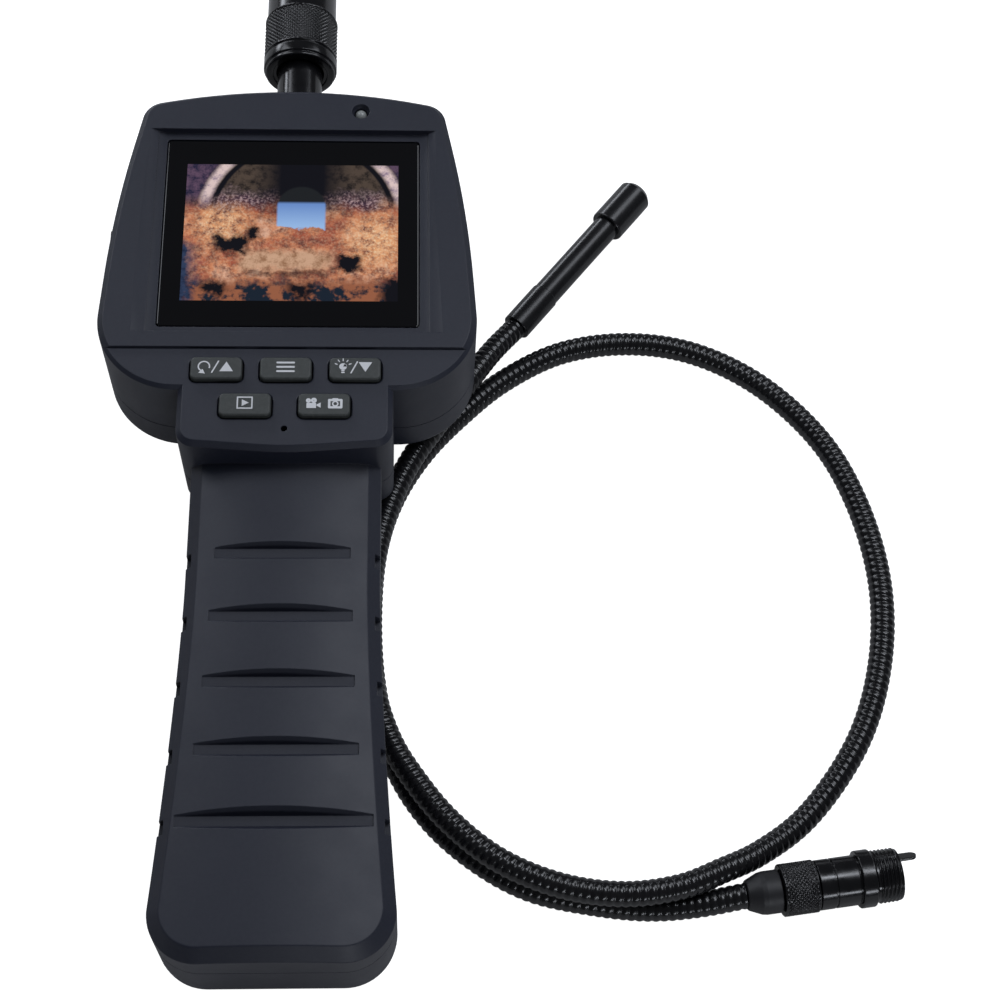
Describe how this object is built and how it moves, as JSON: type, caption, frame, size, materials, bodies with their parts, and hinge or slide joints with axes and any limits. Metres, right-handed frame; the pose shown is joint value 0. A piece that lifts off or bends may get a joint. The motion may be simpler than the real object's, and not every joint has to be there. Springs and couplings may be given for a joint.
{
  "type": "inspection camera",
  "caption": "Handheld pipe inspection camera with colour screen, push buttons, ribbed battery grip, knurled coupling nut and a coiled gooseneck camera cable beside it.",
  "frame": {"origin": "centre of the flat face on the back of the head, where the unit rests", "axes": "+Z out of the screen, +Y from the grip to the head along the unit, +X to the right of the screen"},
  "size_m": [0.2003, 0.2778, 0.0463],
  "materials": {
    "shell": "dark navy satin plastic, fine moulded texture",
    "button": "grey-green silicone rubber, light printed symbols",
    "glass": "black-bordered gloss window",
    "rubber": "matt black rubber",
    "anodised": "black anodised, satin",
    "steel": "plain bright steel",
    "brass": "plated spring brass",
    "board": "green solder resist",
    "inner_plastic": "black moulded plastic",
    "lamp": "clear lamp plastic",
    "cell_jacket": "plain cell jacket, no print",
    "gooseneck": "black coated metal armour"
  },
  "bodies": {
    "handset": {"front_shell": "shell", "rear_shell": "shell", "screen_window": "glass", "lcd_panel": "inner_plastic", "main_circuit_board": "board", "keypad_membrane": "rubber", "switch_rotate_up": "inner_plastic", "switch_menu": "inner_plastic", "switch_light_down": "inner_plastic", "switch_play": "inner_plastic", "switch_capture": "inner_plastic", "status_led": "lamp", "microphone": "steel", "usb_port": "steel", "video_jack": "inner_plastic", "card_socket": "steel", "battery_tray": "inner_plastic", "battery_cell_1": "cell_jacket", "battery_cell_2": "cell_jacket", "battery_cell_3": "cell_jacket", "battery_cell_4": "cell_jacket", "battery_contact_low": "brass", "battery_contact_left": "brass", "battery_contact_right": "brass", "neck_tube": "anodised", "neck_seal": "rubber", "neck_lock_nut": "steel", "socket_insert": "inner_plastic", "case_screw_1": "steel", "case_screw_2": "steel", "case_screw_3": "steel", "case_screw_4": "steel", "case_screw_5": "steel", "case_screw_6": "steel"},
    "rotate_up_button": {"button_rotate_up": "button"},
    "menu_button": {"button_menu": "button"},
    "light_down_button": {"button_light_down": "button"},
    "play_button": {"button_play": "button"},
    "capture_button": {"button_capture": "button"},
    "nut": {"coupling_nut": "anodised"},
    "door": {"battery_door": "shell", "battery_door_screw": "steel"},
    "port_flap": {"port_cover": "rubber"},
    "card": {"memory_card": "inner_plastic"},
    "cable": {"gooseneck_coil": "gooseneck", "strain_relief": "rubber", "connector_grip_ring": "anodised", "connector_barrel": "anodised", "thread_barrel": "anodised", "contact_insert": "inner_plastic", "connector_key": "steel"},
    "bend_section": {"gooseneck_middle": "gooseneck"},
    "camera_tip": {"gooseneck_end": "gooseneck", "tip_ferrule": "anodised", "tip_tube": "anodised", "camera_housing": "anodised", "lens_window": "glass", "tip_light_ring": "lamp", "lens_barrel": "brass"}
  },
  "joints": [
    {"name": "rotate_up_button_press", "type": "slide", "parent": "handset", "child": "rotate_up_button", "axis": [0, 0, -1], "range_m": [0, 0.0005]},
    {"name": "menu_button_press", "type": "slide", "parent": "handset", "child": "menu_button", "axis": [0, 0, -1], "range_m": [0, 0.0005]},
    {"name": "light_down_button_press", "type": "slide", "parent": "handset", "child": "light_down_button", "axis": [0, 0, -1], "range_m": [0, 0.0005]},
    {"name": "play_button_press", "type": "slide", "parent": "handset", "child": "play_button", "axis": [0, 0, -1], "range_m": [0, 0.0005]},
    {"name": "capture_button_press", "type": "slide", "parent": "handset", "child": "capture_button", "axis": [0, 0, -1], "range_m": [0, 0.0005]},
    {"name": "coupling_nut_spin", "type": "hinge", "parent": "handset", "child": "nut", "pos_m": [0, 0.0602, 0.0295], "axis": [0, 1, 0], "continuous": true},
    {"name": "battery_door_hinge", "type": "hinge", "parent": "handset", "child": "door", "pos_m": [0, -0.061, 0.0135], "axis": [1, 0, 0], "range_deg": [0, 75]},
    {"name": "port_cover_hinge", "type": "hinge", "parent": "handset", "child": "port_flap", "pos_m": [-0.0468, -0.001, 0.0276], "axis": [0, -1, 0], "range_deg": [0, 110]},
    {"name": "memory_card_slide", "type": "slide", "parent": "handset", "child": "card", "axis": [1, 0, 0], "range_m": [0, 0.014]},
    {"name": "cable_carry", "type": "slide", "parent": "handset", "child": "cable", "axis": [1, 0, 0], "range_m": [0, 0.12]},
    {"name": "gooseneck_swing", "type": "hinge", "parent": "cable", "child": "bend_section", "pos_m": [0.04748, -0.02049, 0.00888], "axis": [0, 0, 1], "range_deg": [-12, 20]},
    {"name": "gooseneck_lift", "type": "hinge", "parent": "bend_section", "child": "camera_tip", "pos_m": [0.05392, -0.01062, 0.00663], "axis": [0.8147, -0.5799, 0], "range_deg": [0, 55]}
  ]
}
